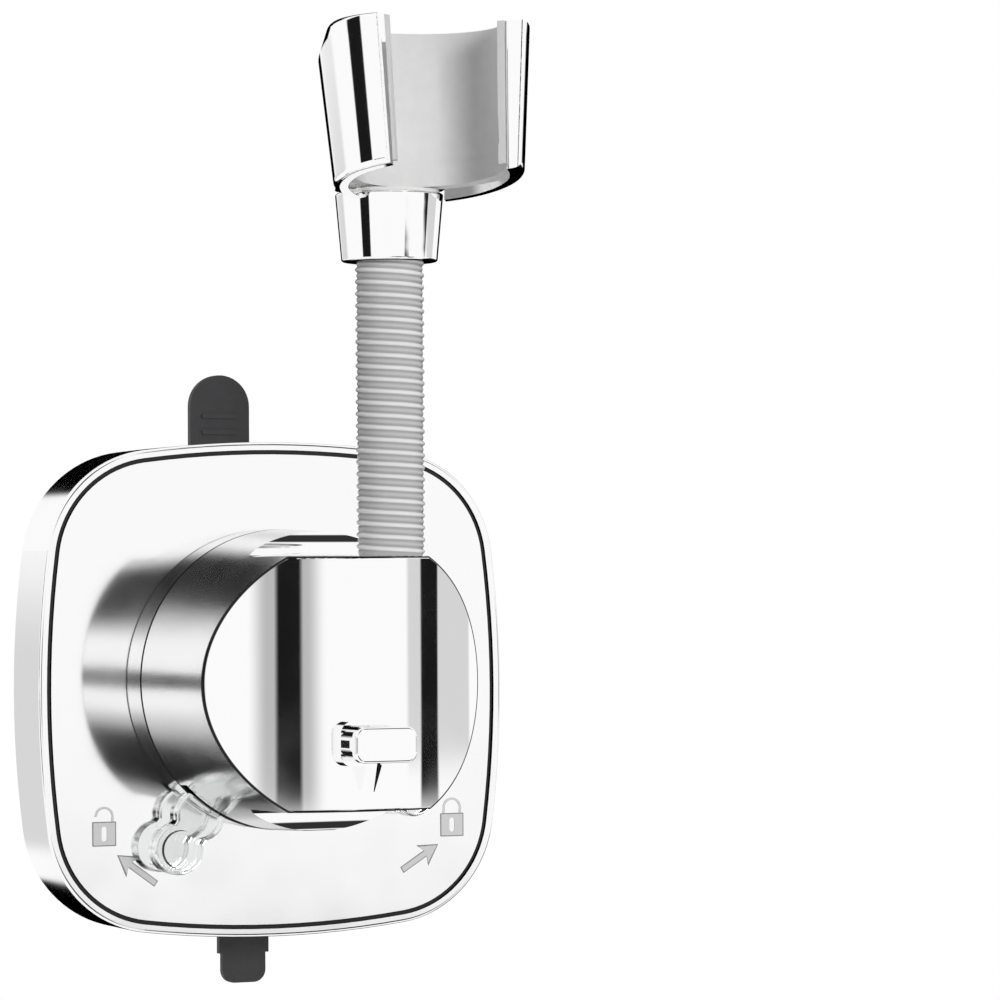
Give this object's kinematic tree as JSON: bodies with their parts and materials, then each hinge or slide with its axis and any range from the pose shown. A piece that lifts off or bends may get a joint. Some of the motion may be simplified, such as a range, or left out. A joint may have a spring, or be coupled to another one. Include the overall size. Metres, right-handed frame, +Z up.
{
  "type": "hand shower holder",
  "caption": "Wall holder for a hand shower: lever-locked suction pad in a square plate, round drum with a hook, bendable gooseneck and a swivelling open cradle.",
  "frame": {"origin": "on the wall plane, behind the centre of the square plate", "axes": "+Y into the wall, +Z up along the straight gooseneck, +X to the right seen from the front"},
  "size_m": [0.1, 0.0888, 0.1893],
  "materials": {
    "plate_chrome": "polished",
    "drum_chrome": "polished",
    "cradle_chrome": "polished",
    "hook_chrome": "polished",
    "pad_rubber": "matt",
    "steel": "plain",
    "white_plastic": "matt",
    "clear_plastic": "clear",
    "sleeve_plastic": "satin",
    "liner_plastic": "satin"
  },
  "bodies": {
    "base": {"base_plate": "plate_chrome", "suction_pad": "pad_rubber", "disc_spring": "steel", "rear_collar": "drum_chrome", "drum_body": "drum_chrome", "body_screws": "steel", "thrust_washer": "white_plastic", "lever_stop": "clear_plastic", "lower_ferrule": "steel", "neck_bolt": "steel", "front_hook": "hook_chrome", "hook_nut": "steel"},
    "lever": {"pull_nut": "white_plastic", "lever": "clear_plastic", "lever_screws": "steel"},
    "stud": {"pull_stud": "steel", "end_washer": "white_plastic", "stud_clip": "steel"},
    "neck": {"neck_sleeve": "sleeve_plastic", "neck_core": "steel"},
    "head": {"upper_ferrule": "steel", "collar_nut": "cradle_chrome", "friction_ring": "white_plastic"},
    "cradle": {"cradle_shell": "cradle_chrome", "cradle_liner": "liner_plastic", "grub_screw": "steel"}
  },
  "joints": [
    {"name": "lever_turn", "type": "hinge", "parent": "base", "child": "lever", "pos_m": [0, -0.0235, 0.002], "axis": [0, -1, 0], "range_deg": [0, 63]},
    {"name": "stud_pull", "type": "slide", "parent": "base", "child": "stud", "axis": [0, -1, 0], "range_m": [0, 0.002], "deforming": ["suction_pad", "disc_spring"]},
    {"name": "neck_bend_side", "type": "hinge", "parent": "base", "child": "neck", "pos_m": [0.0093, -0.057, 0.043], "axis": [0, 1, 0], "range_deg": [-55, 55], "deforming": ["neck_sleeve", "neck_core"]},
    {"name": "neck_bend_forward", "type": "hinge", "parent": "neck", "child": "head", "pos_m": [0.0093, -0.057, 0.071], "axis": [1, 0, 0], "range_deg": [-30, 45], "deforming": ["neck_sleeve", "neck_core"]},
    {"name": "cradle_swivel", "type": "hinge", "parent": "head", "child": "cradle", "pos_m": [0.0093, -0.057, 0.0981], "axis": [0, 0, 1], "continuous": true}
  ],
  "couplings": [
    {"joint": "lever_turn", "follows": "stud_pull", "rad_per_m": 549}
  ]
}
